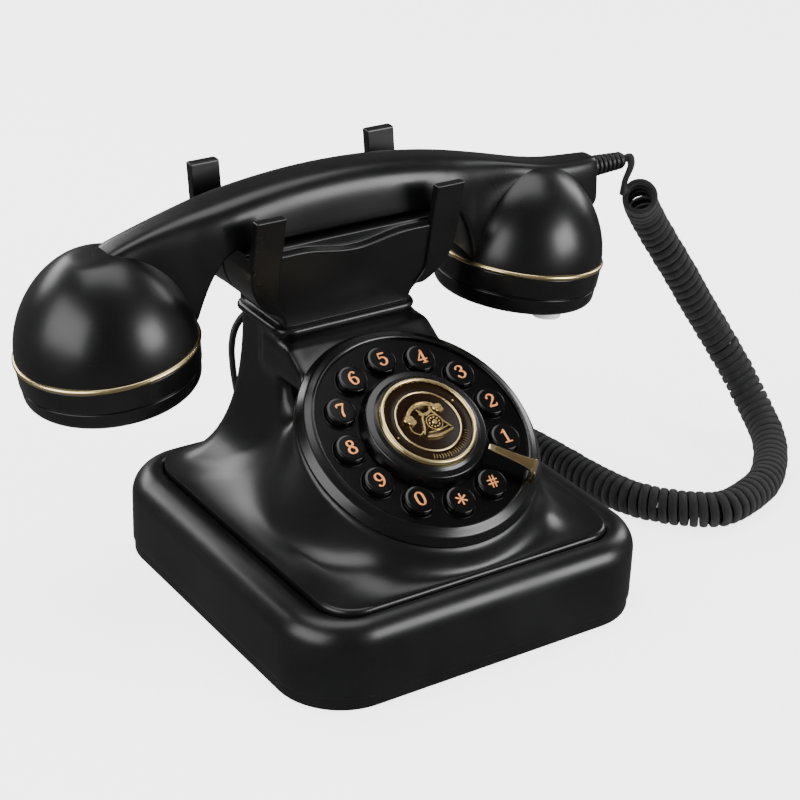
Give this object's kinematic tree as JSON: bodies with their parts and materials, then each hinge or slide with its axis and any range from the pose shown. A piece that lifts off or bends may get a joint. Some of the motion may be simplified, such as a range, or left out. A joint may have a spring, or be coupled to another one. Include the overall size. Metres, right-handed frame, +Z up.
{
  "type": "desk telephone",
  "caption": "Corded desk telephone in an old dial style: square base, flared housing, ring of push buttons, forked cradle and a lift-off handset on a curly cord.",
  "frame": {"origin": "on the resting surface, under the middle of the square base", "axes": "+Z up, -Y the way the dial faces, +X the side the cord leaves the handset"},
  "size_m": [0.3285, 0.1831, 0.1526],
  "materials": {
    "badge_brown": "dark brown enamel",
    "base_black": "satin black moulded plastic, fine grain",
    "board_green": "glass-fibre board with a green mask",
    "button_black": "gloss black with a printed orange figure",
    "cap_black": "satin to gloss black",
    "capsule_metal": "pressed",
    "cord_braid": "black woven braid over a wire core",
    "dial_black": "black, satin to gloss",
    "foot_rubber": "matt",
    "gold_stop": "pale gold, brushed face and polished edges",
    "gold_trim": "polished gold plate",
    "handset_black": "satin black moulded plastic",
    "horn_chrome": "polished",
    "mat_rubber": "matt",
    "plug_clear": "smoked clear plastic",
    "relief_rubber": "satin black moulded rubber",
    "screw_steel": "zinc plated",
    "shell_black": "satin black moulded plastic",
    "slider_black": "matt black",
    "socket_black": "matt black",
    "speaker_cone": "paper cone in a steel basket",
    "weight_iron": "raw"
  },
  "bodies": {
    "telephone": {"bottom_plate": "base_black", "rubber_feet": "foot_rubber", "base_screws": "screw_steel", "base_shell": "base_black", "upper_housing": "shell_black", "ballast_bars": "weight_iron", "circuit_board": "board_green", "ringer_speaker": "speaker_cone", "line_socket": "socket_black", "handset_socket": "socket_black", "switch_body": "socket_black", "dial_ring": "dial_black", "dial_plate": "dial_black", "dial_hub": "dial_black", "badge_ring": "gold_trim", "badge_disc": "badge_brown", "badge_emblem": "gold_trim", "finger_stop": "gold_stop", "keypad_mat": "mat_rubber", "keypad_board": "board_green", "cradle_front": "shell_black", "cradle_rear": "shell_black", "hook_switch": "socket_black", "cradle_screws": "screw_steel", "cord_lead": "cord_braid", "curly_cord": "cord_braid", "cord_tail": "cord_braid", "cord_plug": "plug_clear"},
    "handset": {"handset_handle": "handset_black", "handle_cover": "handset_black", "handle_screws": "screw_steel", "handset_weight": "weight_iron", "earpiece_dome": "handset_black", "earpiece_ring": "gold_trim", "earpiece_cap": "cap_black", "receiver_capsule": "capsule_metal", "mouthpiece_dome": "handset_black", "mouthpiece_ring": "gold_trim", "mouthpiece_cap": "cap_black", "microphone_capsule": "capsule_metal", "mouthpiece_horn": "horn_chrome", "strain_relief": "relief_rubber"},
    "hook_plunger": {"hook_plunger": "slider_black"},
    "ringer_switch": {"ringer_switch": "slider_black"},
    "button_1": {"button_1": "button_black"},
    "button_2": {"button_2": "button_black"},
    "button_3": {"button_3": "button_black"},
    "button_4": {"button_4": "button_black"},
    "button_5": {"button_5": "button_black"},
    "button_6": {"button_6": "button_black"},
    "button_7": {"button_7": "button_black"},
    "button_8": {"button_8": "button_black"},
    "button_9": {"button_9": "button_black"},
    "button_0": {"button_0": "button_black"},
    "button_star": {"button_star": "button_black"},
    "button_hash": {"button_hash": "button_black"}
  },
  "joints": [
    {"name": "handset_lift", "type": "slide", "parent": "telephone", "child": "handset", "axis": [0, 0, 1], "range_m": [0, 0.06]},
    {"name": "hook_rise", "type": "slide", "parent": "telephone", "child": "hook_plunger", "axis": [0, 0, 1], "range_m": [0, 0.004]},
    {"name": "ringer_slide", "type": "slide", "parent": "telephone", "child": "ringer_switch", "axis": [1, 0, 0], "range_m": [-0.004, 0.004]},
    {"name": "button_1_press", "type": "slide", "parent": "telephone", "child": "button_1", "axis": [0, 0.521, -0.8536], "range_m": [0, 0.0015], "stiffness_N_per_m": 400, "springref_m": -0.0006},
    {"name": "button_2_press", "type": "slide", "parent": "telephone", "child": "button_2", "axis": [0, 0.521, -0.8536], "range_m": [0, 0.0015], "stiffness_N_per_m": 400, "springref_m": -0.0006},
    {"name": "button_3_press", "type": "slide", "parent": "telephone", "child": "button_3", "axis": [0, 0.521, -0.8536], "range_m": [0, 0.0015], "stiffness_N_per_m": 400, "springref_m": -0.0006},
    {"name": "button_4_press", "type": "slide", "parent": "telephone", "child": "button_4", "axis": [0, 0.521, -0.8536], "range_m": [0, 0.0015], "stiffness_N_per_m": 400, "springref_m": -0.0006},
    {"name": "button_5_press", "type": "slide", "parent": "telephone", "child": "button_5", "axis": [0, 0.521, -0.8536], "range_m": [0, 0.0015], "stiffness_N_per_m": 400, "springref_m": -0.0006},
    {"name": "button_6_press", "type": "slide", "parent": "telephone", "child": "button_6", "axis": [0, 0.521, -0.8536], "range_m": [0, 0.0015], "stiffness_N_per_m": 400, "springref_m": -0.0006},
    {"name": "button_7_press", "type": "slide", "parent": "telephone", "child": "button_7", "axis": [0, 0.521, -0.8536], "range_m": [0, 0.0015], "stiffness_N_per_m": 400, "springref_m": -0.0006},
    {"name": "button_8_press", "type": "slide", "parent": "telephone", "child": "button_8", "axis": [0, 0.521, -0.8536], "range_m": [0, 0.0015], "stiffness_N_per_m": 400, "springref_m": -0.0006},
    {"name": "button_9_press", "type": "slide", "parent": "telephone", "child": "button_9", "axis": [0, 0.521, -0.8536], "range_m": [0, 0.0015], "stiffness_N_per_m": 400, "springref_m": -0.0006},
    {"name": "button_0_press", "type": "slide", "parent": "telephone", "child": "button_0", "axis": [0, 0.521, -0.8536], "range_m": [0, 0.0015], "stiffness_N_per_m": 400, "springref_m": -0.0006},
    {"name": "button_star_press", "type": "slide", "parent": "telephone", "child": "button_star", "axis": [0, 0.521, -0.8536], "range_m": [0, 0.0015], "stiffness_N_per_m": 400, "springref_m": -0.0006},
    {"name": "button_hash_press", "type": "slide", "parent": "telephone", "child": "button_hash", "axis": [0, 0.521, -0.8536], "range_m": [0, 0.0015], "stiffness_N_per_m": 400, "springref_m": -0.0006}
  ],
  "couplings": [
    {"joint": "hook_rise", "follows": "handset_lift", "ratio": 0.066}
  ]
}
